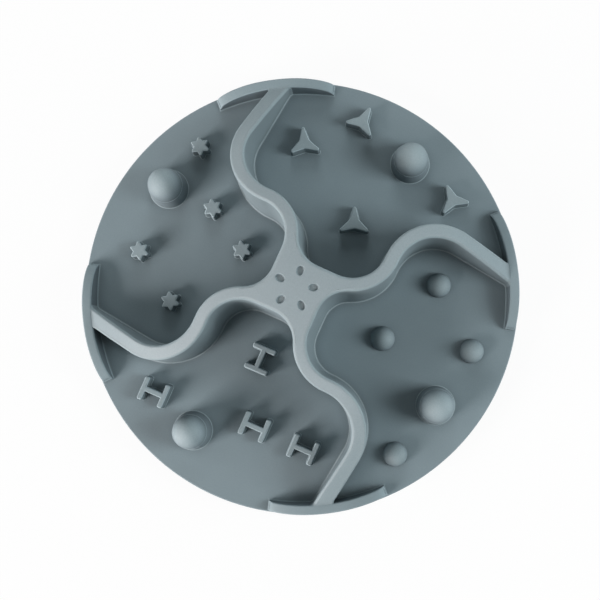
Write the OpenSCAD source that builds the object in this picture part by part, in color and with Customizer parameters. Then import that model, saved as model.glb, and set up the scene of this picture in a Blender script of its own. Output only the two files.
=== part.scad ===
// Slow feeder bowl insert: a soft round disc whose four S-shaped divider walls rise from the rim lips
// to a domed hub, with a different kind of peg in each of the four food pockets.
// Millimetres, +Z up, origin on the resting plane under the centre of the disc.

/* [Disc] */
// Radius of the disc
disc_r = 90; // [82:1:110]
// Thickness of the disc
disc_t = 3; // [2:0.25:5]
// Chamfer round the disc's edge
disc_edge = 0.6; // [0.2:0.1:0.9]

/* [Crown] */
// Height of the hub's middle above the disc
crown_h = 34; // [28:0.5:40]

/* [Rim lips] */
// Height of a lip above the disc
lip_h = 7; // [5:0.25:10]
// Width of a lip's top
lip_w = 3.9; // [3:0.1:5]
// Step from the disc's edge in to a lip's top
lip_set = 0.9; // [0.6:0.1:2]
// Round on the lip's top edges
lip_round = 0.6; // [0.2:0.1:1]
// Angle where the first lip starts
lip_from_angle = -9; // [-14:0.2:-6]
// Angle that a lip spans
lip_span_angle = 32.5; // [26:0.5:38]
// Angle over which a lip rises from each of its ends
lip_rise_angle = 13; // [6:0.5:13]
// Height of a lip's end face
lip_end_h = 1.5; // [1:0.1:3]
// Step from a lip's top down to the wall that meets it
lip_step = 0.3; // [0.2:0.1:1.5]

/* [Divider walls] */
// Width of a wall's top at the height of the hub
wall_w = 5; // [4:0.1:6]
// Sideways growth of a wall per millimetre of depth
draft = 0.03; // [0.01:0.005:0.05]
// Round on the top edges of the walls and the hub
wall_round = 0.9; // [0.4:0.1:1.6]
// Fillet at the foot of the walls and the hub
foot_fillet = 0.6; // [0.3:0.1:1.2]
// Distance of the wall's inner end from the centre
arm_reach = 21; // [19.5:0.25:24]
// Sideways step of the wall's inner end
arm_step = 1.55; // [1:0.05:2]
// Radius of the inner bend
bend_in_r = 16.3; // [14:0.1:18]
// Turn of the inner bend
bend_in_angle = 63.8; // [58:0.2:68]
// Straight run between the two bends
bend_gap = 1.9; // [1:0.1:4]
// Radius of the outer bend
bend_out_r = 20.2; // [18:0.1:22]
// Turn of the outer bend
bend_out_angle = 94.8; // [90:0.2:102]

/* [Hub] */
// Part of the inner bend that runs on into the hub
hub_bend_angle = 24; // [18:0.5:30]
// Radius of the hub's corner with the next wall
hub_corner_r = 12; // [9:0.25:13]
// Radius of the ring of dimples
dimple_ring_r = 6.75; // [5.5:0.25:7]
// Width of a dimple
dimple_w = 2.2; // [1.4:0.1:2.8]
// Length of a dimple along the radius
dimple_l = 3.3; // [2.9:0.1:4]
// Depth of a dimple
dimple_depth = 1.2; // [0.6:0.1:2.5]

/* [Pegs] */
// Height of the star, three-arm and beam pegs
peg_h = 4.5; // [3:0.25:6]
// Sideways growth of a peg from its top to its foot
peg_flare = 0.35; // [0.2:0.05:1]
// Round on the pegs' top edges
peg_round = 0.3; // [0.15:0.05:0.5]
// Fillet at the foot of the pegs
peg_fillet = 0.4; // [0.2:0.05:0.6]
// Tip radius of a star peg
star_r = 3.85; // [3:0.05:4.5]
// Notch radius of a star peg
star_notch_r = 2.45; // [1.8:0.05:2.8]
// Tip radius of a three-arm peg
tri_r = 6.5; // [5.5:0.1:7]
// Radius of the hollow between two arms
tri_notch_r = 2.3; // [1.8:0.05:3]
// Width of an arm's tip
tri_tip_w = 0.8; // [0.5:0.05:1.2]
// Length of a beam peg's two flanges
beam_l = 9.1; // [8:0.1:10]
// Distance between the middles of the two flanges
beam_web_l = 9; // [8.5:0.1:10]
// Width of the flanges and of the web
beam_w = 2; // [1.6:0.05:2.2]

/* [Domes] */
// Foot radius of a large dome's post
post_foot_r = 8.3; // [7.8:0.1:9]
// Shoulder radius of a large dome's post
post_top_r = 7.1; // [6:0.1:7.6]
// Height of a large dome's post
post_h = 6.5; // [5:0.25:9]
// Ledge between the post and its round cap
cap_ledge = 0.3; // [0.1:0.05:0.6]
// Radius of a small dome
small_dome_r = 5.1; // [4:0.1:5.5]

/* [Suction cups] */
// Radius of a suction cup's rim
cup_r = 12; // [10:0.5:14]
// Height of a suction cup
cup_h = 4; // [3.5:0.25:5]
// Width of the flat rim that rests on the bowl
cup_rim_w = 1.6; // [1:0.1:2.5]
// Radius of the neck that joins the cup to the disc
cup_neck_r = 6.5; // [5:0.25:8]
// Depth of the cup's hollow
cup_depth = 2.4; // [1.5:0.1:2.8]
// Gap from the disc's edge to the outer cups
cup_edge_gap = 18; // [14:1:24]
// Number of cups in the outer ring
cup_count = 8; // [6:1:8]

/* [Hidden] */
$fn = 96;
quarters = 4;
floor_z = cup_h + disc_t;

// place of each peg: share of the disc's radius, angle about the centre, turn of the peg
star_angle = 36.8;
star_points = 6;
star_places = [[0.829, 124.1], [0.571, 135.3], [0.768, 164.4], [0.344, 142.2], [0.598, 182.2]];
tri_places = [[0.701, 88.9, 94.8], [0.846, 70.8, 60.2], [0.82, 32.3, 112.3], [0.413, 54.2, 88.4]];
beam_places = [[0.801, 213.2, -23.5], [0.342, 237, 66.5], [0.633, 250.5, -23.5], [0.7, 270.8, -23.5]];
small_places = [[0.42, 332.6], [0.822, 342.2], [0.634, 4.7], [0.842, 300.7]];
large_share = 0.793;
large_angle = 50.9;

lip_out_r = disc_r - lip_set;
lip_in_r = lip_out_r - lip_w;
lip_in_foot_r = lip_in_r - draft * lip_h;
lip_out_foot_r = lip_out_r + draft * lip_h;

// the tops of the walls lie on a ball that meets the lips a step below their tops
crown_drop = crown_h - lip_h + lip_step;
crown_r = (lip_in_r * lip_in_r + crown_drop * crown_drop) / (2 * crown_drop);
function crown(p) = crown_h - crown_r + sqrt(crown_r * crown_r - p * p);

// a path is a list of [point, heading], and a bend turns left for a positive angle
function unit(a) = [cos(a), sin(a)];
function turned(p, a) = [p.x * cos(a) - p.y * sin(a), p.x * sin(a) + p.y * cos(a)];
function ends_at(path) = path[len(path) - 1];
function run(from, length, steps) = [for (i = [1:steps])
    [from[0] + unit(from[1]) * length * i / steps, from[1]]];
function bend(from, radius, turn, steps) =
    let (r = radius * sign(turn), a = from[1])
    [for (i = [1:steps])
        let (b = a + turn * i / steps)
        [from[0] + r * [sin(b) - sin(a), cos(a) - cos(b)], b]];
function to_circle(p, a, r) =
    let (along = p * unit(a))
    -along + sqrt(along * along - p * p + r * r);

// one wall's middle line, from its flat joint with the hub out past the lip's inner face
wall_start = [[arm_reach, arm_step], 0];
inner_bend = bend(wall_start, bend_in_r, bend_in_angle, 12);
between = run(ends_at(inner_bend), bend_gap, 1);
outer_bend = bend(ends_at(between), bend_out_r, -bend_out_angle, 18);
wall_end = ends_at(outer_bend);
past_lip = 1.2 * wall_w;
outer_run = run(wall_end, to_circle(wall_end[0], wall_end[1], lip_in_r) + past_lip, 8);
wall_path = concat([wall_start], inner_bend, between, outer_bend, outer_run);

// section of a moulded side, from the foot's fillet up to the rounded top edge; the foot keeps its width
round_steps = 3;
function side(edge, out) =
    let (h = crown(norm(edge)), f = foot_fillet, r = wall_round)
    concat(
        [for (i = [0:round_steps - 1])
            let (a = 90 * i / round_steps, z = f * (1 - cos(a)))
            concat(edge + out * (draft * (crown_h - z) + f * (1 - sin(a))), z)],
        [concat(edge + out * draft * (crown_h - f), f)],
        [for (i = [0:round_steps])
            let (a = 90 * i / round_steps, z = h - r * (1 - sin(a)))
            concat(edge + out * (draft * (crown_h - z) - r * (1 - cos(a))), z)]);
function backwards(list) = [for (i = [len(list) - 1:-1:0]) list[i]];
function wall_section(station) =
    let (left = unit(station[1] + 90), half = wall_w / 2)
    concat(side(station[0] + left * half, left), backwards(side(station[0] - left * half, -left)));

// a solid through a row of rings that have the same number of points
function row_sides(rows, n) = [for (i = [0:rows - 2], j = [0:n - 1])
    let (a = i * n + j, b = i * n + (j + 1) % n)
    each [[a, a + n, b + n], [a, b + n, b]]];
module loft(rings) {
    n = len(rings[0]);
    last = (len(rings) - 1) * n;
    ends = [[for (j = [0:n - 1]) j], [for (j = [n - 1:-1:0]) last + j]];
    polyhedron([for (ring = rings) each ring], concat(row_sides(len(rings), n), ends));
}

// a quarter of the hub's outline, from one wall's joint round the pocket's end to the next wall's joint
hub_bend_r = bend_in_r - wall_w / 2;
hub_start = [[arm_reach, arm_step + wall_w / 2], 180];
hub_bend = bend(hub_start, hub_bend_r, -hub_bend_angle, 5);
hub_end = turned([arm_reach, arm_step - wall_w / 2], 90);
corner_turn = 90 - hub_bend_angle;
to_end = hub_end - ends_at(hub_bend)[0];
corner_limit_r =
    (to_end.x * tan(hub_bend_angle) + to_end.y) / (1 / cos(hub_bend_angle) - tan(hub_bend_angle));
corner_r = min(hub_corner_r, corner_limit_r);
hub_line = (-to_end.x - corner_r * (1 - sin(hub_bend_angle))) / cos(hub_bend_angle);
hub_flank = run(ends_at(hub_bend), hub_line, 4);
hub_corner = bend(ends_at(hub_flank), corner_r, -corner_turn, 10);
hub_quarter = concat([hub_start], hub_bend, hub_flank, hub_corner, [[hub_end, 90]]);
hub_outline = [for (q = [0:quarters - 1], s = hub_quarter) [turned(s[0], 90 * q), s[1] + 90 * q]];

module base_disc() {
    color("lightslategray")
    translate([0, 0, cup_h])
    rotate_extrude()
    polygon([
        [0, 0],
        [disc_r - disc_edge, 0],
        [disc_r, disc_edge],
        [disc_r, disc_t - disc_edge],
        [disc_r - disc_edge, disc_t],
        [0, disc_t]]);
}

module hub_body() {
    m = len(hub_quarter);
    n = len(hub_outline);
    sides = [for (s = hub_outline) side(s[0], unit(s[1] - 90))];
    k = len(sides[0]);
    cap_rings = [0.75, 0.15];
    rim = [for (s = sides) [s[k - 1].x, s[k - 1].y]];
    caps = [for (c = cap_rings, p = rim) concat(p * c, crown(norm(p) * c))];
    first_cap = n * k;
    apex = first_cap + n * len(cap_rings);
    // whole rows of quads round the pocket ends, leaving the four flat joints open
    flanks = [for (i = [0:n - 1], j = [0:k - 2]) if (i % m != m - 1)
        let (a = i * k + j, b = a + k)
        each [[a, a + 1, b + 1], [a, b + 1, b]]];
    joints = [for (q = [0:quarters - 1])
        let (a = (q * m + m - 1) * k, b = ((q + 1) * m % n) * k)
        concat([for (j = [0:k - 1]) a + j], [for (j = [k - 1:-1:0]) b + j])];
    foot = [[for (i = [0:n - 1]) i * k]];
    shoulder = [for (i = [0:n - 1])
        let (next = (i + 1) % n, a = i * k + k - 1, b = next * k + k - 1)
        let (c = first_cap + i, d = first_cap + next)
        each [[a, c, d], [a, d, b]]];
    dome = [for (f = row_sides(len(cap_rings), n)) [for (v = f) first_cap + v]];
    top = [for (i = [0:n - 1]) [apex - n + i, apex, apex - n + (i + 1) % n]];
    polyhedron(
        concat([for (s = sides) each s], caps, [[0, 0, crown_h]]),
        concat(flanks, joints, foot, shoulder, dome, top));
}

dimple_count = 5;
dimple_angle = 2;
module dimples() {
    straight = dimple_l - dimple_w;
    bottom = crown(dimple_ring_r) - dimple_depth;
    above = dimple_depth + 1;
    for (i = [0:dimple_count - 1])
        rotate([0, 0, dimple_angle + 360 / dimple_count * i])
        translate([dimple_ring_r, 0, bottom]) {
            for (end = [-1, 1])
                translate([end * straight / 2, 0, 0])
                cylinder(d = dimple_w, h = above);
            translate([-straight / 2, -dimple_w / 2, 0])
            cube([straight, dimple_w, above]);
        }
}

module center_hub() {
    color("lightslategray")
    translate([0, 0, floor_z])
    difference() {
        hub_body();
        dimples();
    }
}

// everything outside the inner face of the lips
module outside_lips() {
    beyond_r = disc_r + 2 * wall_w;
    top = 2 * lip_h;
    rotate_extrude($fn = 360)
    polygon([
        [lip_in_foot_r, 0],
        [lip_in_foot_r + draft * top, top],
        [beyond_r, top],
        [beyond_r, 0]]);
}

module divider_wall(i) {
    color("slategray")
    translate([0, 0, floor_z])
    rotate([0, 0, 360 / quarters * (i - 1)])
    difference() {
        loft([for (s = wall_path) wall_section(s)]);
        outside_lips();
    }
}

// a lip's angles and heights: each end rises along a quarter of an ellipse
rise_steps = 10;
rise = [for (i = [0:rise_steps])
    let (a = 90 * i / rise_steps)
    [lip_rise_angle * (1 - cos(a)), lip_end_h + (lip_h - lip_end_h) * sin(a)]];
lip_stations = concat(rise, [for (s = backwards(rise)) [lip_span_angle - s[0], s[1]]]);
function lip_section(a, h) =
    let (r = min(lip_round, h / 2), lean = draft * (lip_h - h), steps = [0:30:90])
    concat(
        [concat(unit(a) * lip_in_foot_r, 0)],
        [for (t = steps)
            concat(unit(a) * (lip_in_r - lean + r * (1 - cos(t))), h - r * (1 - sin(t)))],
        backwards([for (t = steps)
            concat(unit(a) * (lip_out_r + lean - r * (1 - cos(t))), h - r * (1 - sin(t)))]),
        [concat(unit(a) * lip_out_foot_r, 0)]);
module rim_lip(i) {
    color("slategray")
    translate([0, 0, floor_z])
    rotate([0, 0, 360 / quarters * (i - 1) + lip_from_angle])
    loft([for (s = lip_stations) lip_section(s[0], s[1])]);
}

// stands a peg at its place on the disc
module at_place(place, turn) {
    translate([0, 0, floor_z])
    rotate([0, 0, place[1]])
    translate([disc_r * place[0], 0, 0])
    rotate([0, 0, turn - place[1]])
    children();
}

// heights of a peg's rings, each with its growth from the top's outline
function peg_growth(z) = peg_flare * (1 - z / peg_h);
peg_levels = [
    [0, peg_flare + peg_fillet],
    [peg_fillet * 0.3, peg_growth(0) + peg_fillet * 0.3],
    [peg_fillet, peg_growth(peg_fillet)],
    [peg_h - peg_round, peg_growth(peg_h - peg_round)],
    [peg_h - peg_round * 0.3, -peg_round * 0.3],
    [peg_h, -peg_round]];
function at_height(outline, z) = [for (p = outline) concat(p, z)];

function star_outline(grow) = [for (i = [0:2 * star_points - 1])
    unit(180 / star_points * i) * ((i % 2 == 0 ? star_r : star_notch_r) + grow)];
module star_peg(i) {
    color("lightslategray")
    at_place(star_places[i - 1], star_angle)
    loft([for (l = peg_levels) at_height(star_outline(l[1]), l[0])]);
}

// the arms stay slim, so their tips grow less than the hollows between them
arms = 3;
tip_growth = 0.6;
hollow_angle = 20;
hollow_rise = 1.18;
function tri_outline(grow) = [for (i = [0:arms - 1])
    let (a = 360 / arms * i, half = tri_tip_w / 2 + grow * tip_growth, r = tri_notch_r + grow)
    each [
        turned([tri_r + grow * tip_growth, -half], a),
        turned([tri_r + grow * tip_growth, half], a),
        unit(a + 180 / arms - hollow_angle) * (r * hollow_rise),
        unit(a + 180 / arms) * r,
        unit(a + 180 / arms + hollow_angle) * (r * hollow_rise)]];
module tri_peg(i) {
    color("lightslategray")
    at_place(tri_places[i - 1], tri_places[i - 1][2])
    loft([for (l = peg_levels) at_height(tri_outline(l[1]), l[0])]);
}

// an H seen from above: two flanges joined by a web along X
function bar_outline(x, y, grow) =
    let (a = x / 2 + grow, b = y / 2 + grow)
    [[a, -b], [a, b], [-a, b], [-a, -b]];
module bar(x, y) {
    loft([for (l = peg_levels) at_height(bar_outline(x, y, l[1]), l[0])]);
}
module beam_peg(i) {
    color("lightslategray")
    at_place(beam_places[i - 1], beam_places[i - 1][2]) {
        for (end = [-1, 1])
            translate([end * beam_web_l / 2, 0, 0])
            bar(beam_w, beam_l);
        bar(beam_web_l, beam_w);
    }
}

module quarter_circle(r) {
    intersection() {
        circle(r);
        square(r);
    }
}

module large_dome(i) {
    color("lightsteelblue")
    at_place([large_share, large_angle + 360 / quarters * (i - 1)], 0)
    rotate_extrude() {
        polygon([[0, 0], [post_foot_r, 0], [post_top_r, post_h], [0, post_h]]);
        translate([0, post_h])
        quarter_circle(post_top_r - cap_ledge);
    }
}

module small_dome(i) {
    color("lightsteelblue")
    at_place(small_places[i - 1], 0)
    rotate_extrude()
    quarter_circle(small_dome_r);
}

// a moulded cup under the disc: a waisted bell with a flat rim and a shallow ball-shaped hollow
cup_ring_r = disc_r - cup_edge_gap - cup_r;
cup_lip_t = cup_rim_w / 2;
module suction_cup(x) {
    mouth_r = cup_r - cup_rim_w;
    hollow_r = (mouth_r * mouth_r + cup_depth * cup_depth) / (2 * cup_depth);
    color("slategray")
    translate([x, 0, 0])
    rotate_extrude()
    difference() {
        polygon([
            [0, 0],
            [cup_r, 0],
            [cup_r, cup_lip_t],
            [cup_neck_r, cup_h],
            [0, cup_h]]);
        translate([0, cup_depth - hollow_r])
        circle(hollow_r);
    }
}
module outer_cup(i) {
    rotate([0, 0, 360 / cup_count * (i - 0.5)])
    suction_cup(cup_ring_r);
}

function numbered(name, count) = [for (i = [1:count]) str(name, "_", i)];
NODES = concat(
    ["base_disc", "center_hub"],
    numbered("divider_wall", quarters),
    numbered("rim_lip", quarters),
    numbered("star_peg", len(star_places)),
    numbered("tri_peg", len(tri_places)),
    numbered("beam_peg", len(beam_places)),
    numbered("large_dome", quarters),
    numbered("small_dome", len(small_places)),
    ["suction_cup_center"],
    numbered("suction_cup", cup_count));
node = "all";
function wanted(name) = node == "all" || node == name;

if (wanted("base_disc")) base_disc();
if (wanted("center_hub")) center_hub();
if (wanted("suction_cup_center")) suction_cup(0);
for (i = [1:quarters]) {
    if (wanted(str("divider_wall_", i))) divider_wall(i);
    if (wanted(str("rim_lip_", i))) rim_lip(i);
    if (wanted(str("large_dome_", i))) large_dome(i);
}
for (i = [1:len(star_places)]) if (wanted(str("star_peg_", i))) star_peg(i);
for (i = [1:len(tri_places)]) if (wanted(str("tri_peg_", i))) tri_peg(i);
for (i = [1:len(beam_places)]) if (wanted(str("beam_peg_", i))) beam_peg(i);
for (i = [1:len(small_places)]) if (wanted(str("small_dome_", i))) small_dome(i);
for (i = [1:cup_count]) if (wanted(str("suction_cup_", i))) outer_cup(i);
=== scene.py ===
import math

import bmesh
import bpy
from mathutils import Matrix, Vector


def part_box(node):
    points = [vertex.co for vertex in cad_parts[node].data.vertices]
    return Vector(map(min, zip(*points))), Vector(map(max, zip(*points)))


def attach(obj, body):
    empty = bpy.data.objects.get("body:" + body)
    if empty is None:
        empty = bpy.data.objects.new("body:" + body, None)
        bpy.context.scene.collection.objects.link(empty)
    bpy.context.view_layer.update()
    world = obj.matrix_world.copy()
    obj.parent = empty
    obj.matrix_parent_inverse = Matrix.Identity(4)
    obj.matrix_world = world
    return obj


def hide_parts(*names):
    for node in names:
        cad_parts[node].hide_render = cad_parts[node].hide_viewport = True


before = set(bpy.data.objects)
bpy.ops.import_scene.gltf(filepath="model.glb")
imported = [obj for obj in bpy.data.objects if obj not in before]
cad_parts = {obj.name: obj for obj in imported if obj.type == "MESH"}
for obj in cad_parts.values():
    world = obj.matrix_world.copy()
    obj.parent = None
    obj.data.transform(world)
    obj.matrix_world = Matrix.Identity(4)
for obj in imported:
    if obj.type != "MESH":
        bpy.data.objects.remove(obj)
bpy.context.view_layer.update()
scene = bpy.context.scene
mm = 0.001
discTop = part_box("base_disc")[1].z  # everything stands on this level
discMiddle = Vector((0, 0, 0))
upAxis = Vector((0, 0, 1))
print("frame loaded:", len(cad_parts), "solids")

# camera, almost straight above the bowl insert
cameraSet = {
    "spot": (0.02207, -0.02875, 0.3065),
    "tilt": 1.112,
    "lens": 43.29,
    "shift": (-0.0916, 0.0867),
    "nearest": 0.01,
}


def addCamera(s):
    data = bpy.data.cameras.new("topCamera")
    data.lens = s["lens"]
    data.shift_x, data.shift_y = s["shift"]
    data.clip_start = s["nearest"]
    camera = bpy.data.objects.new("topCamera", data)
    camera.location = s["spot"]
    camera.rotation_euler = (math.radians(s["tilt"]), 0, 0)
    scene.collection.objects.link(camera)
    scene.camera = camera


addCamera(cameraSet)

# low soft boxes round the table: azimuth, elevation, distance, width, watts, tint
warmWhite, coolWhite = (1.035, 0.98, 0.97), (0.94, 1, 1.02)
lightSet = {
    "leftBox": (210, 17, 1.3, 0.6, 24.9, warmWhite),
    "rightBox": (352, 24, 0.8, 0.37, 3.45, coolWhite),
    "rightHighBox": (352, 34, 0.8, 0.37, 1.67, coolWhite),
    "backBox": (90, 20, 0.65, 0.3, 1.3, coolWhite),
    "sideBox": (150, 38, 0.65, 0.3, 0.32, coolWhite),
}


def addLights(boxes):
    for name, (azimuth, elevation, away, width, watts, tint) in boxes.items():
        data = bpy.data.lights.new(name, "AREA")
        data.size = width
        data.energy = watts
        data.color = tint
        lamp = bpy.data.objects.new(name, data)
        a, e = math.radians(azimuth), math.radians(elevation)
        toLamp = Vector((math.cos(a) * math.cos(e), math.sin(a) * math.cos(e), math.sin(e)))
        lamp.location = toLamp * away
        lamp.rotation_euler = toLamp.to_track_quat("Z", "Y").to_euler()
        lamp.visible_camera = False
        scene.collection.objects.link(lamp)


addLights(lightSet)
scene.view_settings.view_transform = "Standard"


# short ways to wire nodes; a socket takes a fixed value or another node's output
def feed(tree, socket, value):
    if isinstance(value, bpy.types.NodeSocket):
        tree.links.new(value, socket)
    else:
        socket.default_value = value


def maths(tree, kind, a, b):
    node = tree.nodes.new("ShaderNodeMath")
    node.operation = kind
    feed(tree, node.inputs[0], a)
    feed(tree, node.inputs[1], b)
    return node.outputs[0]


def mapSpan(tree, value, span, target=(0, 1), way="LINEAR"):
    node = tree.nodes.new("ShaderNodeMapRange")
    node.interpolation_type = way
    names = ("Value", "From Min", "From Max", "To Min", "To Max")
    for name, given in zip(names, (value, *span, *target)):
        feed(tree, node.inputs[name], given)
    return node.outputs["Result"]


def mixColour(tree, share, a, b, way="MIX"):
    node = tree.nodes.new("ShaderNodeMix")
    node.data_type = "RGBA"
    node.blend_type = way
    feed(tree, node.inputs["Factor"], share)
    feed(tree, node.inputs["A"], a)
    feed(tree, node.inputs["B"], b)
    return node.outputs["Result"]


def seenRays(tree):
    # one for rays that show the background: straight to the camera, mirrored or through glass
    path = tree.nodes.new("ShaderNodeLightPath")
    seen = path.outputs["Is Camera Ray"]
    for ray in ("Is Glossy Ray", "Is Transmission Ray"):
        seen = maths(tree, "MAXIMUM", seen, path.outputs[ray])
    return seen


# white surroundings that add only a little light of their own
skySet = {"colour": (1, 1, 1, 1), "ambient": 0.06, "backdrop": 1.0}


def addSky(s):
    world = bpy.data.worlds.new("studio")
    scene.world = world
    world.use_nodes = True
    tree = world.node_tree
    back = tree.nodes["Background"]
    back.inputs["Color"].default_value = s["colour"]
    strength = mapSpan(tree, seenRays(tree), (0, 1), (s["ambient"], s["backdrop"]))
    feed(tree, back.inputs["Strength"], strength)


addSky(skySet)

# pale table, plain white to the camera with a trace of shadow
tableSet = {
    "size": 6.0,
    "colour": (0.86, 0.87, 0.87, 1),
    "roughness": 0.9,
    "gloss": 0.1,
    "whiteShare": 0.94,
}


def addTable(s):
    bm = bmesh.new()
    bmesh.ops.create_grid(bm, x_segments=1, y_segments=1, size=s["size"] / 2)
    mesh = bpy.data.meshes.new("table")
    bm.to_mesh(mesh)
    bm.free()
    table = bpy.data.objects.new("table", mesh)
    scene.collection.objects.link(table)
    paint = bpy.data.materials.new("tablePaper")
    paint.use_nodes = True
    tree = paint.node_tree
    paper = tree.nodes["Principled BSDF"]
    paper.inputs["Base Color"].default_value = s["colour"]
    paper.inputs["Roughness"].default_value = s["roughness"]
    paper.inputs["Specular IOR Level"].default_value = s["gloss"]
    white = tree.nodes.new("ShaderNodeEmission")
    mix = tree.nodes.new("ShaderNodeMixShader")
    feed(tree, mix.inputs["Fac"], maths(tree, "MULTIPLY", seenRays(tree), s["whiteShare"]))
    feed(tree, mix.inputs[1], paper.outputs["BSDF"])
    feed(tree, mix.inputs[2], white.outputs["Emission"])
    feed(tree, tree.nodes["Material Output"].inputs["Surface"], mix.outputs["Shader"])
    mesh.materials.append(paint)


addTable(tableSet)
print("camera, lights and table set")


def newGroup(name, takes, gives):
    group = bpy.data.node_groups.new(name, "ShaderNodeTree")
    for way, sockets in (("INPUT", takes), ("OUTPUT", gives)):
        for label, kind in sockets.items():
            group.interface.new_socket(label, in_out=way, socket_type="NodeSocket" + kind)
    start, end = group.nodes.new("NodeGroupInput"), group.nodes.new("NodeGroupOutput")
    return group, start.outputs, end.inputs


# moulded silicone: cloudy tone, fine mould grain and a little lint
grainSet = {
    "cloudSize": 60,
    "cloudDetail": 3,
    "cloudRough": 0.55,
    "grainSize": 1700,
    "grainDetail": 2,
    "grainRough": 0.5,
    "speckSize": 190,
    "speckEdge": (0.03, 0.055),
    "lintTone": 0.25,
    "lintHigh": 0.6,
    "cloudMatte": 0.5,
    "middle": 0.5,
}


def makeGrainGroup(s):
    takes = dict.fromkeys(("Cloud", "Grain", "Lint"), "Float")
    gives = dict.fromkeys(("Tone", "Matte", "Height"), "Float")
    tree, take, give = newGroup("mouldGrain", takes, gives)
    place = tree.nodes.new("ShaderNodeTexCoord").outputs["Object"]

    def noise(size, detail, rough):
        node = tree.nodes.new("ShaderNodeTexNoise")
        settings = {"Vector": place, "Scale": size, "Detail": detail, "Roughness": rough}
        for name, value in settings.items():
            feed(tree, node.inputs[name], value)
        return maths(tree, "SUBTRACT", node.outputs["Fac"], s["middle"])

    cloud = noise(s["cloudSize"], s["cloudDetail"], s["cloudRough"])
    grain = noise(s["grainSize"], s["grainDetail"], s["grainRough"])
    speck = tree.nodes.new("ShaderNodeTexVoronoi")
    feed(tree, speck.inputs["Vector"], place)
    feed(tree, speck.inputs["Scale"], s["speckSize"])
    spots = mapSpan(tree, speck.outputs["Distance"], s["speckEdge"], (1, 0))
    lint = maths(tree, "MULTIPLY", spots, take["Lint"])
    tone = maths(tree, "ADD", maths(tree, "MULTIPLY", cloud, take["Cloud"]), s["middle"])
    tone = maths(tree, "ADD", tone, maths(tree, "MULTIPLY", grain, take["Grain"]))
    tone = maths(tree, "ADD", tone, maths(tree, "MULTIPLY", lint, s["lintTone"]))
    matte = maths(tree, "ADD", maths(tree, "MULTIPLY", cloud, s["cloudMatte"]), s["middle"])
    feed(tree, give["Tone"], tone)
    feed(tree, give["Matte"], maths(tree, "ADD", matte, grain))
    height = maths(tree, "ADD", grain, maths(tree, "MULTIPLY", lint, s["lintHigh"]))
    feed(tree, give["Height"], height)
    return tree


# painted light and shade: faces are painted lighter the more they face upwards, so steep sides are
# painted darker and rounded edges and tops lighter, and painted shade darkens corners by ambient
# occlusion
paintedShadeSet = {"open": (0.25, 0.95), "samples": 8}
slopeNames = ("side", "shoulder", "edge", "top")


def makePaintedLightGroup(s):
    takes = {"Reach": "Float", "Corner": "Float"}
    for slope in slopeNames:
        takes[slope.title()] = "Color"
        takes[slope.title() + " At"] = "Float"
    gives = {"Tone": "Color", "Corner Shade": "Float", "Upward": "Float"}
    tree, take, give = newGroup("paintedLightAndShade", takes, gives)
    # painted light by slope, read from how far the normal faces upwards
    facing = tree.nodes.new("ShaderNodeNewGeometry")
    split = tree.nodes.new("ShaderNodeSeparateXYZ")
    feed(tree, split.inputs["Vector"], facing.outputs["Normal"])
    upward = split.outputs["Z"]
    labels = [slope.title() for slope in slopeNames]
    tone = take[labels[0]]
    for before, label in zip(labels, labels[1:]):
        reached = mapSpan(tree, upward, (take[before + " At"], take[label + " At"]))
        tone = mixColour(tree, reached, tone, take[label])
    # painted shade in corners, creases and beside raised parts, from ambient occlusion
    corner = tree.nodes.new("ShaderNodeAmbientOcclusion")
    corner.samples = s["samples"]
    feed(tree, corner.inputs["Distance"], take["Reach"])
    feed(tree, give["Tone"], tone)
    feed(tree, give["Corner Shade"], mapSpan(tree, corner.outputs["AO"], s["open"], (take["Corner"], 1)))
    feed(tree, give["Upward"], upward)
    return tree


grainGroup = makeGrainGroup(grainSet)
paintedLightGroup = makePaintedLightGroup(paintedShadeSet)

# seven versions of one silicone, differing a little in colour, grain and gloss and mostly in painted
# light by slope; a slope has the upward lean where it is reached, and its painted tone
mouldSilicone = {
    "index": 1.41,
    "dark": (0.205, 0.260, 0.282),
    "light": (0.247, 0.308, 0.332),
    "matte": (0.56, 0.70),
    "gloss": 0.35,
    "cloud": 0.5,
    "grain": 1.2,
    "lint": 0.4,
    "bump": 0.12,
    "bumpDeep": 0.0002,
    # reach and corner set the painted shade in corners
    "reach": 0.005,
    "corner": 0.6,
}
wallSilicone = {
    **mouldSilicone,
    "name": "wallSilicone",
    "side": (0.1, (0.78, 0.78, 0.78)),
    "shoulder": (0.45, (1.12, 1.11, 1.1)),
    "edge": (0.8, (1.22, 1.2, 1.18)),
    "top": (0.95, (1.47, 1.37, 1.34)),
    "fade": {"span": (0.058, 0.0866), "lean": (0.6, 0.9), "tone": (1.13, 1.1, 1.09, 1)},
}
# pegs: rounded edges carry a painted highlight, sides painted darker
pegSilicone = {
    **mouldSilicone,
    "name": "pegSilicone",
    "side": (0.1, (0.72, 0.72, 0.72)),
    "shoulder": (0.3, (1.6, 1.58, 1.56)),
    "edge": (0.85, (1.6, 1.58, 1.56)),
    "top": (0.97, (1.3, 1.27, 1.25)),
}
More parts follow.
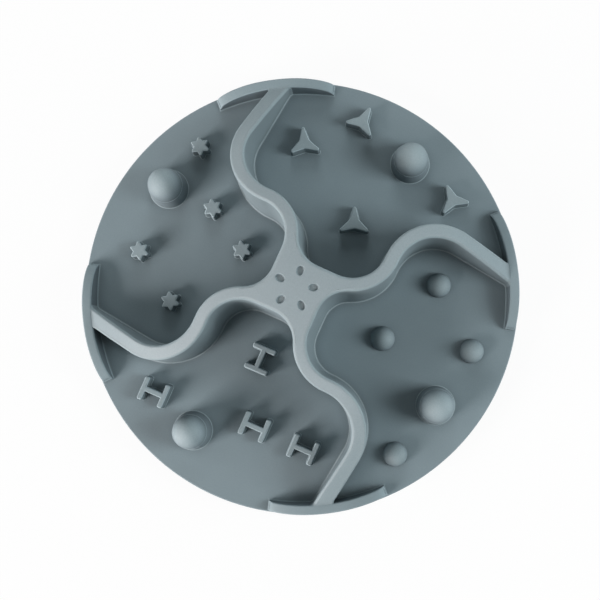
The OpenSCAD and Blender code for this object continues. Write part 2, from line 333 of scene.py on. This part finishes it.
# domes: caps painted lighter on top and darker on the flanks
domeSilicone = {
    **mouldSilicone,
    "name": "domeSilicone",
    "side": (0.05, (0.62, 0.62, 0.63)),
    "shoulder": (0.35, (0.8, 0.8, 0.81)),
    "edge": (0.7, (1.15, 1.14, 1.13)),
    "top": (1, (1.5, 1.46, 1.43)),
}
bumpSilicone = {
    **mouldSilicone,
    "name": "bumpSilicone",
    "side": (0.05, (0.62, 0.62, 0.63)),
    "shoulder": (0.35, (0.78, 0.78, 0.79)),
    "edge": (0.7, (1.02, 1.01, 1)),
    "top": (1, (1.24, 1.22, 1.2)),
}
floorSilicone = {
    **mouldSilicone,
    "name": "floorSilicone",
    "dark": (0.205, 0.262, 0.286),
    "light": (0.245, 0.308, 0.334),
    # floor, disc edge and lips: steep faces painted darker
    "side": (0.1, (0.58, 0.58, 0.59)),
    "shoulder": (0.45, (1.05, 1.05, 1.05)),
    "edge": (0.8, (1.05, 1.05, 1.05)),
    "top": (0.95, (1, 1, 1)),
    "cloud": 0.7,
    "grain": 0.8,
    "lint": 0.5,
    "bump": 0.14,
}
lipSilicone = {
    **floorSilicone,
    "name": "lipSilicone",
    "shoulder": (0.45, (1.08, 1.08, 1.08)),
    "edge": (0.8, (1.13, 1.13, 1.12)),
    "top": (0.95, (1.1, 1.09, 1.08)),
}
cupSilicone = {
    **mouldSilicone,
    "name": "cupSilicone",
    "dark": (0.202, 0.256, 0.278),
    "light": (0.235, 0.294, 0.318),
    "side": (0.1, (0.9, 0.9, 0.9)),
    "shoulder": (0.5, (1, 1, 1)),
    "edge": (0.8, (1, 1, 1)),
    "top": (0.95, (1, 1, 1)),
    "matte": (0.30, 0.42),
    "gloss": 0.5,
    "grain": 0.4,
    "lint": 0.3,
    "bump": 0.05,
    "reach": 0.006,
    "corner": 0.7,
}


def fadeToRim(tree, colour, upward, s):
    # the painted light on the wall tops eases to the lip's painted tone where they run into it
    place = tree.nodes.new("ShaderNodeTexCoord")
    flat = tree.nodes.new("ShaderNodeVectorMath")
    flat.operation = "MULTIPLY"
    feed(tree, flat.inputs[0], place.outputs["Object"])
    feed(tree, flat.inputs[1], (1, 1, 0))
    away = tree.nodes.new("ShaderNodeVectorMath")
    away.operation = "LENGTH"
    feed(tree, away.inputs[0], flat.outputs["Vector"])
    atRim = mapSpan(tree, away.outputs["Value"], s["span"], way="SMOOTHSTEP")
    onTop = mapSpan(tree, upward, s["lean"], way="SMOOTHSTEP")
    return mixColour(tree, maths(tree, "MULTIPLY", atRim, onTop), colour, s["tone"])


def makeSilicone(s):
    material = bpy.data.materials.new(s["name"])
    material.use_nodes = True
    tree = material.node_tree
    body = tree.nodes["Principled BSDF"]
    body.inputs["IOR"].default_value = s["index"]
    body.inputs["Specular IOR Level"].default_value = s["gloss"]
    grain = tree.nodes.new("ShaderNodeGroup")
    grain.node_tree = grainGroup
    for label in ("Cloud", "Grain", "Lint"):
        grain.inputs[label].default_value = s[label.lower()]
    lightPaint = tree.nodes.new("ShaderNodeGroup")
    lightPaint.node_tree = paintedLightGroup
    for label in ("Reach", "Corner"):
        lightPaint.inputs[label].default_value = s[label.lower()]
    for slope in slopeNames:
        lean, tone = s[slope]
        lightPaint.inputs[slope.title()].default_value = (*tone, 1)
        lightPaint.inputs[slope.title() + " At"].default_value = lean
    tint = mixColour(tree, grain.outputs["Tone"], (*s["dark"], 1), (*s["light"], 1))
    # painted light and shade by slope, eased near the rim on the walls, then painted shade in corners
    litTone = lightPaint.outputs["Tone"]
    if "fade" in s:
        litTone = fadeToRim(tree, litTone, lightPaint.outputs["Upward"], s["fade"])
    shade = tree.nodes.new("ShaderNodeVectorMath")
    shade.operation = "SCALE"
    feed(tree, shade.inputs["Vector"], mixColour(tree, 1, tint, litTone, "MULTIPLY"))
    feed(tree, shade.inputs["Scale"], lightPaint.outputs["Corner Shade"])
    feed(tree, body.inputs["Base Color"], shade.outputs["Vector"])
    feed(tree, body.inputs["Roughness"], mapSpan(tree, grain.outputs["Matte"], (0, 1), s["matte"]))
    bump = tree.nodes.new("ShaderNodeBump")
    bump.inputs["Strength"].default_value = s["bump"]
    bump.inputs["Distance"].default_value = s["bumpDeep"]
    feed(tree, bump.inputs["Height"], grain.outputs["Height"])
    feed(tree, body.inputs["Normal"], bump.outputs["Normal"])
    return material


wallSkin = makeSilicone(wallSilicone)
pegSkin = makeSilicone(pegSilicone)
domeSkin = makeSilicone(domeSilicone)
bumpSkin = makeSilicone(bumpSilicone)
floorSkin = makeSilicone(floorSilicone)
lipSkin = makeSilicone(lipSilicone)
cupSkin = makeSilicone(cupSilicone)
print("silicone mixed")

# shared moulding steps, in millimetres with the top of the disc at zero
mouldSet = {"weldGap": 0.0005, "crease": math.radians(50), "flatWeight": 100, "roundSteps": 5}


def weld(bm):
    bmesh.ops.remove_doubles(bm, verts=bm.verts, dist=mouldSet["weldGap"])


def finishPiece(bm, name, skin, node):
    weld(bm)
    bmesh.ops.recalc_face_normals(bm, faces=bm.faces)
    bmesh.ops.scale(bm, vec=(mm, mm, mm), verts=bm.verts)
    bmesh.ops.translate(bm, vec=(0, 0, discTop), verts=bm.verts)
    for face in bm.faces:
        face.smooth = True
    for edge in bm.edges:
        edge.smooth = edge.calc_face_angle(0) < mouldSet["crease"]
    mesh = bpy.data.meshes.new(name)
    bm.to_mesh(mesh)
    bm.free()
    mesh.materials.append(skin)
    piece = bpy.data.objects.new(name, mesh)
    scene.collection.objects.link(piece)
    flatten = piece.modifiers.new("flatFaces", "WEIGHTED_NORMAL")
    flatten.weight = mouldSet["flatWeight"]
    flatten.keep_sharp = True
    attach(piece, "root")
    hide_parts(node)


def sideLevels(high, draft, topRound, fillet, steps=mouldSet["roundSteps"]):
    levels = []  # reach outwards and height, from the top's flat down to the floor
    for i in range(1, steps + 1):
        a = math.radians(90 * (1 - i / steps))
        z = high - topRound * (1 - math.sin(a))
        levels.append((draft * (high - z) - topRound * (1 - math.cos(a)), z))
    for i in range(steps + 1):
        a = math.radians(90 * i / steps)
        z = fillet * (1 - math.sin(a))
        levels.append((draft * (high - z) + fillet * (1 - math.cos(a)), z))
    return levels


def pullEdges(bm, edges):
    made = bmesh.ops.extrude_edge_only(bm, edges=edges)["geom"]
    fresh = {g for g in made if isinstance(g, bmesh.types.BMVert)}
    return fresh, list({e for v in fresh for e in v.link_edges if e.other_vert(v) in fresh})


def pulledFrom(vert, known):
    return next(e.other_vert(vert) for e in vert.link_edges if e.other_vert(vert) in known)


def dropSides(bm, edges, sides):
    # sides holds each vertex's edge point, outward direction and levels
    for i in range(len(next(iter(sides.values()))[2])):
        fresh, edges = pullEdges(bm, edges)
        lower = {}
        for vert in fresh:
            lower[vert] = sides[pulledFrom(vert, sides)]
            spot, out, levels = lower[vert]
            reach, z = levels[i]
            vert.co = (spot.x + out.x * reach, spot.y + out.y * reach, z)
        sides = lower
    return edges


def turnRound(bm, angle):
    bmesh.ops.rotate(bm, cent=discMiddle, matrix=Matrix.Rotation(angle, 3, "Z"), verts=bm.verts)


def arcPoints(centre, radius, fromAngle, toAngle, steps):
    turns = [math.radians(fromAngle + (toAngle - fromAngle) * i / steps) for i in range(steps + 1)]
    return [(centre[0] + radius * math.cos(t), centre[1] + radius * math.sin(t)) for t in turns]


def lathe(bm, profile, steps, centre=(0, 0)):
    verts = [bm.verts.new((centre[0] + r, centre[1], z)) for r, z in profile]
    edges = [bm.edges.new(pair) for pair in zip(verts, verts[1:])]
    bmesh.ops.spin(bm, geom=verts + edges, cent=(*centre, 0), axis=upAxis,
                   angle=math.tau, steps=steps, use_merge=True)


# round base disc with softly rounded edges
discSet = {"radius": 90, "thick": 3, "edge": 0.6, "border": 6, "edgeSteps": 6, "steps": 240}


def polar(share, angle):
    a = math.radians(angle)
    return Vector((math.cos(a), math.sin(a), 0)) * discSet["radius"] * share


def makeDisc(s):
    bm = bmesh.new()
    r, t, e = s["radius"], s["thick"], s["edge"]
    inside = r - s["border"]
    profile = [(0, -t), (inside, -t)] + arcPoints((r - e, e - t), e, -90, 0, s["edgeSteps"])
    profile += arcPoints((r - e, -e), e, 0, 90, s["edgeSteps"]) + [(inside, 0), (0, 0)]
    lathe(bm, profile, s["steps"])
    finishPiece(bm, "baseDisc", floorSkin, "base_disc")


makeDisc(discSet)
print("disc turned")

# the tops of the walls and the hub lie on one large ball
crownSet = {
    "high": 34,
    "lipHigh": 7,
    "lipStep": 0.3,
    "flush": 0.06,
    "lipInside": 85.2,
    "draft": 0.03,
    "topRound": 1.2,
    "fillet": 0.6,
}
crownDrop = crownSet["high"] - crownSet["lipHigh"] + crownSet["lipStep"]
crownBall = (crownSet["lipInside"] ** 2 + crownDrop**2) / (2 * crownDrop)


def crown(spot):
    ball = crownSet["high"] - crownBall + math.sqrt(crownBall**2 - spot.x**2 - spot.y**2)
    return max(ball, crownSet["lipHigh"] - crownSet["flush"])  # the last of it lies level with the lip


def wallDrop(edge, out):
    # the foot keeps its width, so the top grows wider where the wall is low
    high = crown(edge)
    spot = edge.xy + out * crownSet["draft"] * (crownSet["high"] - high)
    return spot, out, sideLevels(high, crownSet["draft"], crownSet["topRound"], crownSet["fillet"])


# S-shaped divider walls, swept out from the hub to the rim lip
wallSet = {
    "count": 4,
    "width": 5,
    "reach": 21,
    "step": 1.55,
    "inRadius": 16.3,
    "inTurn": 63.8,
    "inSteps": 30,
    "gap": 1.9,
    "gapSteps": 2,
    "outRadius": 20.2,
    "outTurn": -94.8,
    "outSteps": 48,
    "endRadius": 86.6,
    "endRound": 0.8,
    "endSteps": 40,
}
quarterTurn = math.tau / wallSet["count"]


class Sweep:
    def __init__(self, bm, row, spot, heading):
        self.bm, self.row, self.spot, self.heading = bm, row, Vector(spot), math.radians(heading)

    def ahead(self):
        return Vector((math.cos(self.heading), math.sin(self.heading), 0))

    def bend(self, radius, turn, steps):
        left = Vector((-math.sin(self.heading), math.cos(self.heading), 0))
        centre = self.spot + left * math.copysign(radius, turn)
        angle = math.radians(turn)
        made = bmesh.ops.spin(self.bm, geom=self.row, cent=centre, axis=upAxis, angle=angle, steps=steps)
        self.row = [g for g in made["geom_last"] if type(g) is type(self.row[0])]
        self.spot = centre + Matrix.Rotation(angle, 3, "Z") @ (self.spot - centre)
        self.heading += angle

    def run(self, length, steps):
        for _ in range(steps):
            if isinstance(self.row[0], bmesh.types.BMEdge):
                fresh, self.row = pullEdges(self.bm, self.row)
            else:
                fresh = self.row = bmesh.ops.extrude_vert_indiv(self.bm, verts=self.row)["verts"]
            bmesh.ops.translate(self.bm, vec=self.ahead() * length / steps, verts=list(fresh))
        self.spot += self.ahead() * length

    def toCircle(self, radius):
        along = self.spot.dot(self.ahead())
        return -along + math.sqrt(along**2 - self.spot.length_squared + radius**2)


def makeWall(s, index):
    bm = bmesh.new()
    across = bm.verts.layers.int.new("across")
    half = s["width"] / 2 - crownSet["topRound"]
    first = []
    for side in (-1, 0, 1):
        vert = bm.verts.new((s["reach"], s["step"] + side * half, 0))
        vert[across] = side
        first.append(vert)
    row = [bm.edges.new(pair) for pair in zip(first, first[1:])]
    path = Sweep(bm, row, (s["reach"], s["step"], 0), 0)
    path.bend(s["inRadius"], s["inTurn"], s["inSteps"])
    path.run(s["gap"], s["gapSteps"])
    path.bend(s["outRadius"], s["outTurn"], s["outSteps"])
    straight, ahead = path.spot.xy, path.ahead().xy
    toEnd = path.toCircle(s["endRadius"])
    path.run(toEnd, s["endSteps"])
    for vert in bm.verts:
        if vert[across] == 0:
            vert.co.z = crown(vert.co)
    sides = {}
    for vert in [v for v in bm.verts if v[across]]:
        middle = next(e.other_vert(vert) for e in vert.link_edges if e.other_vert(vert)[across] == 0)
        out = (vert.co - middle.co).xy.normalized()
        edge = vert.co.xy + out * crownSet["topRound"]
        done = (edge - straight).dot(ahead)
        if done > 0:  # the last stretch fans out, so that its end lies along the lip
            side = Sweep(bm, [], (*(edge - ahead * done), 0), math.degrees(path.heading))
            edge += ahead * done * (side.toCircle(s["endRadius"]) / toEnd - 1)
        spot, out, levels = wallDrop(edge, out)
        toLip = min(max(crownSet["lipInside"] - spot.length, 0), s["endRound"])
        spot += out * (s["endRound"] - math.sqrt(s["endRound"] ** 2 - (s["endRound"] - toLip) ** 2))
        vert.co = (*(spot - out * crownSet["topRound"]), crown(edge))
        sides[vert] = (spot, out, levels)
    flanks = [e for e in bm.edges if e.verts[0][across] and e.verts[0][across] == e.verts[1][across]]
    foot = dropSides(bm, flanks, sides)
    bmesh.ops.bridge_loops(bm, edges=foot)
    bmesh.ops.holes_fill(bm, edges=[e for e in bm.edges if e.is_boundary], sides=0)
    turnRound(bm, quarterTurn * index)
    finishPiece(bm, f"dividerWall{index + 1}", wallSkin, f"divider_wall_{index + 1}")


for i in range(wallSet["count"]):
    makeWall(wallSet, i)
print("walls swept")

# domed hub with five oval dimples in its top; a dimple level has its growth outwards and its depth
hubSet = {
    "bendTurn": -24,
    "bendSteps": 6,
    "runSteps": 4,
    "cornerRadius": 12,
    "cornerSteps": 9,
    "joinSteps": 2,
    "jointParts": 4,
    "rings": (1.6, 3.1, 4.5),
    "outerRing": 9.9,
    "spokes": 100,
    "topCuts": 4,
    "dimples": 5,
    "dimpleAt": 6.75,
    "dimpleAngle": 2,
    "dimpleHalf": (1.7, 1.2),
    "patchHalf": 2.25,
    "patchSpread": 14.4,
    "patchSteps": 8,
    "patchSlack": 1.05,
    "dimpleLevels": (
        (0.42, 0.0),
        (0.3, 0.035),
        (0.17, 0.12),
        (0.07, 0.27),
        (0, 0.52),
        (-0.05, 0.68),
        (-0.14, 0.76),
        (-0.34, 0.78),
    ),
}


def hubOutline(bm, s):
    # a quarter of the outline is bent and run like the walls, then turned round the middle
    w = wallSet
    vert = bm.verts.new((w["reach"], w["step"] + w["width"] / 2, 0))
    path = Sweep(bm, [vert], vert.co, 180)
    end = Vector((w["width"] / 2 - w["step"], w["reach"], 0))
    path.bend(w["inRadius"] - w["width"] / 2, s["bendTurn"], s["bendSteps"])
    slope = math.radians(-s["bendTurn"])
    toEnd = end - path.spot
    path.run((-toEnd.x - s["cornerRadius"] * (1 - math.sin(slope))) / math.cos(slope), s["runSteps"])
    path.bend(s["cornerRadius"], -90 - s["bendTurn"], s["cornerSteps"])
    path.run((end - path.spot).length, s["joinSteps"])
    more = w["count"] - 1
    bmesh.ops.spin(bm, geom=list(bm.verts) + list(bm.edges), cent=discMiddle, axis=upAxis,
                   angle=quarterTurn * more, steps=more, use_duplicate=True)
    tips = [v for v in bm.verts if len(v.link_edges) == 1]
    joints = []
    while tips:  # the four flat joints with the walls
        tip = tips.pop()
        mate = min(tips, key=lambda v: (v.co - tip.co).length)
        tips.remove(mate)
        shares = [k / s["jointParts"] for k in range(1, s["jointParts"])]
        row = [tip] + [bm.verts.new(tip.co.lerp(mate.co, share)) for share in shares] + [mate]
        joints += [bm.edges.new(pair) for pair in zip(row, row[1:])]
    return joints


def hubTop(bm, s, rim):
    near, wide = s["dimpleAt"] - s["patchHalf"], 2 * s["patchHalf"]
    patchRings = [near + wide * k / s["patchSteps"] for k in range(1, s["patchSteps"] + 1)]
    turn = Matrix.Rotation(math.radians(s["dimpleAngle"]), 3, "Z")
    radii = [0, *s["rings"], *patchRings, s["outerRing"]]
    spoke = [bm.verts.new(turn @ Vector((r, 0, 0))) for r in radii]
    edges = [bm.edges.new(pair) for pair in zip(spoke, spoke[1:])]
    bmesh.ops.spin(bm, geom=spoke + edges, cent=discMiddle, axis=upAxis,
                   angle=math.tau, steps=s["spokes"], use_merge=True)
    weld(bm)
    ring = [e for e in bm.edges if e.is_boundary]
    made = bmesh.ops.bridge_loops(bm, edges=rim + ring)["faces"]
    spans = list({e for f in made for e in f.edges} - set(rim + ring))
    bmesh.ops.subdivide_edges(bm, edges=spans, cuts=s["topCuts"], use_grid_fill=True)
    for vert in bm.verts:
        vert.co.z = crown(vert.co)


def sinkDimple(bm, s, turn):
    along = Vector((math.cos(turn), math.sin(turn)))
    aside = Vector((-math.sin(turn), math.cos(turn)))
    long, wide = s["dimpleHalf"]

    def onPatch(spot):
        off = math.degrees(math.atan2(spot.dot(aside), spot.dot(along)))
        return (spot.length - s["dimpleAt"]) / s["patchHalf"], off / s["patchSpread"]

    def inPatch(spot, slack=1.0):
        return spot.z > crownSet["high"] / 2 and max(map(abs, onPatch(spot.xy))) < slack

    patch = [f for f in bm.faces if inPatch(f.calc_center_median())]
    bmesh.ops.delete(bm, geom=patch, context="FACES")
    rim = [e for e in bm.edges if e.is_boundary]
    edges = [e for e in rim if inPatch((e.verts[0].co + e.verts[1].co) / 2, s["patchSlack"])]
    angles = {v: math.atan2(*reversed(onPatch(v.co.xy))) for e in edges for v in e.verts}
    for grow, deep in s["dimpleLevels"]:
        fresh, edges = pullEdges(bm, edges)
        angles = {v: angles[pulledFrom(v, angles)] for v in fresh}
        for vert, a in angles.items():
            spot = along * (s["dimpleAt"] + (long + grow) * math.cos(a))
            spot += aside * (wide + grow) * math.sin(a)
            vert.co = (*spot, crown(spot) - deep)
    bmesh.ops.edgeloop_fill(bm, edges=edges)


def makeHub(s):
    bm = bmesh.new()
    mark = bm.verts.layers.int.new("mark")
    joints = hubOutline(bm, s)
    rim = list(bm.edges)
    drops = []
    for vert in bm.verts:
        out = Vector((0, 0))
        for edge in [e for e in vert.link_edges if e not in joints]:
            along = (edge.verts[1].co - edge.verts[0].co).xy.normalized()
            normal = Vector((along.y, -along.x))
            out += normal if normal.dot((edge.verts[0].co + edge.verts[1].co).xy) > 0 else -normal
        vert[mark] = len(drops)
        drops.append(wallDrop(vert.co.xy, out.normalized()))
    for vert in bm.verts:
        spot, out, levels = drops[vert[mark]]
        vert.co = (*(spot - out * crownSet["topRound"]), 0)
    hubTop(bm, s, rim)
    sides = {v: drops[v[mark]] for v in bm.verts if v.is_boundary}
    foot = dropSides(bm, rim, sides)
    bmesh.ops.edgeloop_fill(bm, edges=foot)
    for k in range(s["dimples"]):
        sinkDimple(bm, s, math.radians(s["dimpleAngle"] + 360 / s["dimples"] * k))
    finishPiece(bm, "centerHub", wallSkin, "center_hub")


makeHub(hubSet)
print("hub formed")

# raised rim lips, each end rising along a quarter of an ellipse
lipSet = {
    "inside": crownSet["lipInside"],
    "high": crownSet["lipHigh"],
    "width": 3.9,
    "round": 0.6,
    "roundSteps": 4,
    "fillet": 0.12,
    "innerFillet": 0.5,
    "start": -9,
    "span": 32.5,
    "rise": 13,
    "endHigh": 1.5,
    "endSlack": 0.001,
    "riseSteps": 18,
    "topSteps": 8,
}


def lipStops(s, first, last):
    # close together where the top rises steeply, even along the flat
    quarter = [math.radians(90 * k / s["riseSteps"]) for k in range(s["riseSteps"] + 1)]
    rises = [s["rise"] * (1 - math.cos(a)) for a in quarter]
    flat = last - first - 2 * s["rise"]
    stops = [first + rise for rise in rises]
    stops += [first + s["rise"] + flat * k / s["topSteps"] for k in range(1, s["topSteps"])]
    return stops + [last - rise for rise in reversed(rises)]


def makeLip(s, index):
    bm = bmesh.new()
    outside = s["inside"] + s["width"]
    inset = math.degrees(s["round"] / outside)
    first, last = s["start"] + inset, s["start"] + s["span"] - inset
    stops = lipStops(s, first, last)
    turn = Matrix.Rotation(math.radians(first), 3, "Z")
    ridge = s["inside"] + s["width"] / 2
    radii = (s["inside"] + s["round"], ridge, outside - s["round"])
    verts = [bm.verts.new(turn @ Vector((r, 0, 0))) for r in radii]
    row = [bm.edges.new(pair) for pair in zip(verts, verts[1:])]
    for before, after in zip(stops, stops[1:]):
        angle = math.radians(after - before)
        made = bmesh.ops.spin(bm, geom=row, cent=discMiddle, axis=upAxis, angle=angle, steps=1)
        row = [g for g in made["geom_last"] if isinstance(g, bmesh.types.BMEdge)]
    weld(bm)
    loop = [e for e in bm.edges if e.is_boundary]
    edgeVerts = {v for e in loop for v in e.verts}
    sides = {}
    for vert in bm.verts:
        angle = math.degrees(math.atan2(vert.co.y, vert.co.x))
        toEnd = min(angle - first, last - angle)
        slack = max(0.0, 1 - max(toEnd, 0) / s["rise"])
        vert.co.z = s["endHigh"] + (s["high"] - s["endHigh"]) * math.sqrt(1 - slack**2)
        if vert in edgeVerts:
            ray = vert.co.xy.normalized()
            shift = vert.co.xy.length - ridge
            out = ray * (0 if abs(shift) < s["round"] else math.copysign(1, shift))
            if toEnd < s["endSlack"]:
                out += Vector((-ray.y, ray.x)) * (-1 if angle - first < s["endSlack"] else 1)
            fillet = s["innerFillet"] if shift < 0 else s["fillet"]
            levels = sideLevels(vert.co.z, crownSet["draft"], s["round"], fillet, s["roundSteps"])
            sides[vert] = (vert.co.xy + out * s["round"], out, levels)
    foot = dropSides(bm, loop, sides)
    bmesh.ops.edgeloop_fill(bm, edges=foot)
    turnRound(bm, quarterTurn * index)
    finishPiece(bm, f"rimLip{index + 1}", lipSkin, f"rim_lip_{index + 1}")


for i in range(wallSet["count"]):
    makeLip(lipSet, i)
print("lips raised")

# low pegs with flared sides; each outline is that of the flat top
pegSet = {
    "high": 4.5,
    "flare": 0.35,
    "round": 0.45,
    "fillet": 0.2,
    "roundSteps": 4,
    "cornerSteps": 4,
}


def raisePeg(bm, name, node, place, turn):
    s = pegSet
    face = next(iter(bm.faces))
    if face.normal.z < 0:
        bmesh.ops.reverse_faces(bm, faces=[face])
    ring = list(face.verts)
    levels = sideLevels(s["high"], s["flare"] / s["high"], s["round"], s["fillet"], s["roundSteps"])
    sides = {}
    for before, vert, after in zip(ring[-1:] + ring, ring, ring[1:] + ring[:1]):
        a, b = (vert.co - before.co).xy.normalized(), (after.co - vert.co).xy.normalized()
        na, nb = Vector((a.y, -a.x)), Vector((b.y, -b.x))
        out = (na + nb) / (1 + na.dot(nb))
        sides[vert] = (vert.co.xy + out * s["round"], out, levels)
        vert.co.z = s["high"]
    foot = dropSides(bm, list(face.edges), sides)
    bmesh.ops.edgeloop_fill(bm, edges=foot)
    turnRound(bm, math.radians(turn))
    bmesh.ops.translate(bm, vec=polar(*place), verts=bm.verts)
    finishPiece(bm, name, pegSkin, node)


def roundCorners(bm, verts, offset):
    bmesh.ops.bevel(bm, geom=verts, offset=offset, offset_type="OFFSET", segments=pegSet["cornerSteps"],
                    profile=0.5, affect="VERTICES", material=-1)


# six-pointed stars; places have the share of the disc's radius and the angle
starSet = {
    "tip": 3.5,
    "notch": 1.96,
    "points": 6,
    "tipRound": 0.22,
    "turn": 36.8,
    "places": ((0.829, 124.1), (0.571, 135.3), (0.768, 164.4), (0.344, 142.2), (0.598, 182.2)),
}


def makeStar(s, index):
    bm = bmesh.new()
    bmesh.ops.create_circle(bm, cap_ends=True, segments=2 * s["points"], radius=s["tip"])
    tips = []
    for vert in bm.verts:
        step = round(math.degrees(math.atan2(vert.co.y, vert.co.x)) / (180 / s["points"]))
        if step % 2:
            vert.co *= s["notch"] / s["tip"]
        else:
            tips.append(vert)
    roundCorners(bm, tips, s["tipRound"])
    raisePeg(bm, f"starPeg{index + 1}", f"star_peg_{index + 1}", s["places"][index], s["turn"])


for i in range(len(starSet["places"])):
    makeStar(starSet, i)

# three-armed pegs with hollow sides; places have each one's own turn too
triSet = {
    "arms": 3,
    "tip": 6.1,
    "tipWidth": 0.3,
    "hollow": 1.85,
    "hollowTurn": 20,
    "hollowRise": 1.18,
    "tipRound": 0.1,
    "places": ((0.701, 88.9, 94.8), (0.846, 70.8, 60.2), (0.82, 32.3, 112.3), (0.413, 54.2, 88.4)),
}


def makeTri(s, index):
    bm = bmesh.new()
    outline, tips = [], []
    for arm in range(s["arms"]):
        turn = Matrix.Rotation(math.tau / s["arms"] * arm, 3, "Z")
        for side in (-1, 1):
            tips.append(bm.verts.new(turn @ Vector((s["tip"], side * s["tipWidth"] / 2, 0))))
            outline.append(tips[-1])
        for off, reach in ((-1, s["hollowRise"]), (0, 1), (1, s["hollowRise"])):
            a = math.radians(180 / s["arms"] + off * s["hollowTurn"])
            ray = turn @ Vector((math.cos(a), math.sin(a), 0))
            outline.append(bm.verts.new(ray * s["hollow"] * reach))
    bm.faces.new(outline)
    bm.normal_update()
    roundCorners(bm, tips, s["tipRound"])
    share, angle, turn = s["places"][index]
    raisePeg(bm, f"triPeg{index + 1}", f"tri_peg_{index + 1}", (share, angle), turn)


for i in range(len(triSet["places"])):
    makeTri(triSet, i)

# H-shaped beams
beamSet = {
    "flange": 8.9,
    "web": 9,
    "width": 1.12,
    "cornerRound": 0.12,
    "places": ((0.801, 213.2, -23.5), (0.342, 237, 66.5), (0.633, 250.5, -23.5), (0.7, 270.8, -23.5)),
}


def makeBeam(s, index):
    bm = bmesh.new()
    half, flange, inner = s["width"] / 2, s["flange"] / 2, (s["web"] - s["width"]) / 2
    outer = inner + s["width"]
    right = [(outer, -flange), (outer, flange), (inner, flange), (inner, half)]
    left = [(-inner, half), (-inner, flange), (-outer, flange), (-outer, -flange)]
    below = [(-inner, -flange), (-inner, -half), (inner, -half), (inner, -flange)]
    verts = [bm.verts.new((x, y, 0)) for x, y in right + left + below]
    bm.faces.new(verts)
    bm.normal_update()
    roundCorners(bm, [v for v in verts if abs(v.co.y) > flange / 2], s["cornerRound"])
    share, angle, turn = s["places"][index]
    raisePeg(bm, f"beamPeg{index + 1}", f"beam_peg_{index + 1}", (share, angle), turn)


for i in range(len(beamSet["places"])):
    makeBeam(beamSet, i)
print("pegs raised")

# turned domes: a round cap on a tapered post, one in each pocket
largeSet = {
    "foot": 8.3,
    "shoulder": 7.1,
    "post": 6.5,
    "ledge": 0.18,
    "ledgeDrop": 0.02,
    "shoulderRound": 0.18,
    "fillet": 0.35,
    "capSteps": 24,
    "place": (0.793, 50.9),
    "steps": 96,
}


def makeLargeDome(s, index):
    bm = bmesh.new()
    draft = (s["foot"] - s["fillet"] - s["shoulder"]) / s["post"]
    levels = sideLevels(s["post"], draft, s["shoulderRound"], s["fillet"])
    cap = s["shoulder"] - s["ledge"]
    profile = [(0, 0)] + [(s["shoulder"] + reach, z) for reach, z in reversed(levels)]
    profile.append((cap, s["post"] - s["ledgeDrop"]))
    profile += arcPoints((0, s["post"]), cap, 0, 90, s["capSteps"])[1:]
    profile[-1] = (0, s["post"] + cap)
    share, angle = s["place"]
    centre = polar(share, angle + math.degrees(quarterTurn) * index)
    lathe(bm, profile, s["steps"], centre.xy)
    finishPiece(bm, f"largeDome{index + 1}", domeSkin, f"large_dome_{index + 1}")


# plain half balls, all in one pocket
smallSet = {
    "radius": 5.1,
    "arcSteps": 20,
    "steps": 80,
    "places": ((0.42, 332.6), (0.822, 342.2), (0.634, 4.7), (0.842, 300.7)),
}


def makeSmallDome(s, index):
    bm = bmesh.new()
    profile = [(0, 0)] + arcPoints((0, 0), s["radius"], 0, 90, s["arcSteps"])
    profile[-1] = (0, s["radius"])
    lathe(bm, profile, s["steps"], polar(*s["places"][index]).xy)
    finishPiece(bm, f"smallDome{index + 1}", bumpSkin, f"small_dome_{index + 1}")


for i in range(wallSet["count"]):
    makeLargeDome(largeSet, i)
for i in range(len(smallSet["places"])):
    makeSmallDome(smallSet, i)
print("domes turned")

# moulded suction cups under the disc, slightly waisted up to the neck
cupSet = {
    "rim": 12,
    "high": 4,
    "rimWidth": 1.6,
    "rimRound": 0.35,
    "rimSteps": 4,
    "lipThick": 0.8,
    "neck": 6.5,
    "waist": 0.8,
    "flankSteps": 10,
    "deep": 2.4,
    "hollowSteps": 16,
    "edgeGap": 18,
    "count": 8,
    "steps": 72,
}


def makeCup(s, name, node, centre):
    bm = bmesh.new()
    bottom = -discSet["thick"] - s["high"]
    mouth = s["rim"] - s["rimWidth"]
    ball = (mouth**2 + s["deep"] ** 2) / (2 * s["deep"])
    halfMouth = math.degrees(math.asin(mouth / ball))
    hollow = arcPoints((0, bottom + s["deep"] - ball), ball, 90, 90 - halfMouth, s["hollowSteps"])
    hollow[0] = (0, bottom + s["deep"])
    edge = s["rim"] - s["rimRound"]
    top = bottom + s["lipThick"]
    rim = arcPoints((edge, bottom + s["rimRound"]), s["rimRound"], -90, 0, s["rimSteps"])
    rim += arcPoints((edge, top - s["rimRound"]), s["rimRound"], 0, 90, s["rimSteps"])
    flank = []
    for k in range(1, s["flankSteps"] + 1):
        t = k / s["flankSteps"]
        reach = edge - (edge - s["neck"]) * t ** s["waist"]
        flank.append((reach, top + (s["high"] - s["lipThick"]) * t))
    lathe(bm, hollow + rim + flank + [(0, -discSet["thick"])], s["steps"], centre)
    finishPiece(bm, name, cupSkin, node)


makeCup(cupSet, "suctionCupCenter", "suction_cup_center", (0, 0))
cupRing = discSet["radius"] - cupSet["edgeGap"] - cupSet["rim"]
for i in range(cupSet["count"]):
    a = math.tau / cupSet["count"] * (i + 0.5)
    centre = (cupRing * math.cos(a), cupRing * math.sin(a))
    makeCup(cupSet, f"suctionCup{i + 1}", f"suction_cup_{i + 1}", centre)
print("cups turned")
